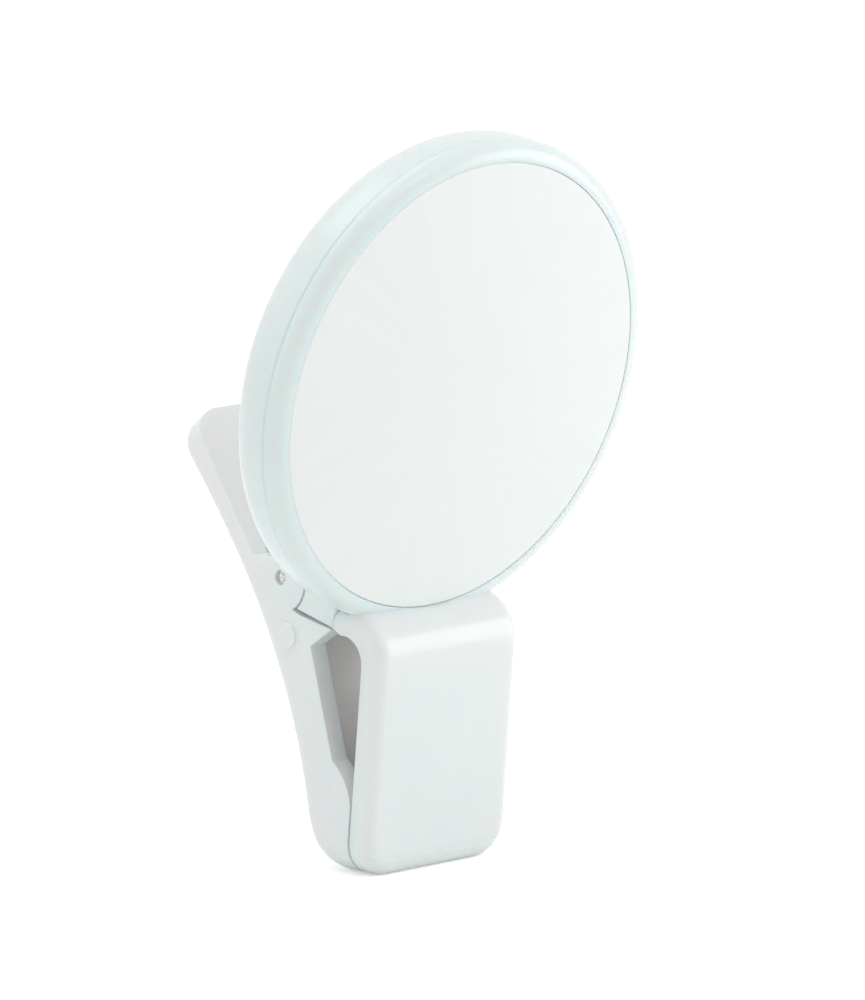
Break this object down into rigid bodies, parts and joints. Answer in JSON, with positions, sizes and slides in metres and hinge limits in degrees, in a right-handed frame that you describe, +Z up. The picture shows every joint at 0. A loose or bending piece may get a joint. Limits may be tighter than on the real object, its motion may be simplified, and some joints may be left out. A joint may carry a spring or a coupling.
{
  "type": "clip-on selfie fill light",
  "caption": "Round battery light head with a frosted face on a spring clip that grips the edge of a telephone; push button and battery door behind.",
  "frame": {"origin": "under the middle of the whole light, on the plane that both jaw ends stand on", "axes": "+Z up, the light faces -Y, the hinge pin lies along X"},
  "size_m": [0.064, 0.0454, 0.0946],
  "materials": {
    "housing_white": "satin moulded plastic, faintly cool white",
    "diffuser_frost": "frosted translucent plastic, satin",
    "lever_white": "satin moulded plastic, faintly cool white",
    "door_white": "satin moulded plastic",
    "button_white": "satin moulded plastic",
    "tray_white": "matte white",
    "board_green": "solder mask",
    "led_white": "ceramic white with a yellow phosphor",
    "chip_black": "moulded epoxy",
    "steel": "bright drawn steel",
    "cell_steel": "nickel-plated steel",
    "contact_brass": "nickel-plated spring brass",
    "pad_rubber": "soft pale silicone"
  },
  "bodies": {
    "light": {"front_housing": "housing_white", "diffuser": "diffuser_frost", "rear_housing": "housing_white", "reflector": "tray_white", "led_board": "board_green", "leds": "led_white", "controller_chip": "chip_black", "resistors": "chip_black", "tact_switch": "chip_black", "coin_cell_left": "cell_steel", "coin_cell_right": "cell_steel", "cell_contacts": "contact_brass", "contact_bridge": "contact_brass", "battery_door": "door_white", "door_screw": "steel", "housing_screws": "steel", "board_screws": "steel", "hinge_pin": "steel", "torsion_spring": "steel", "front_jaw_pad": "pad_rubber"},
    "lever": {"clip_lever": "lever_white", "rear_jaw_pad": "pad_rubber"},
    "button": {"mode_button": "button_white", "switch_plunger": "chip_black"}
  },
  "joints": [
    {"name": "lever_pivot", "type": "hinge", "parent": "light", "child": "lever", "pos_m": [0, 0.00338, 0.0368], "axis": [1, 0, 0], "range_deg": [0, 25], "stiffness_Nm_per_rad": 0.06, "springref_deg": -57.3, "deforming": ["torsion_spring"]},
    {"name": "button_press", "type": "slide", "parent": "light", "child": "button", "axis": [0, -0.9799, -0.1994], "range_m": [0, 0.0004], "stiffness_N_per_m": 1500, "springref_m": -0.0003}
  ]
}
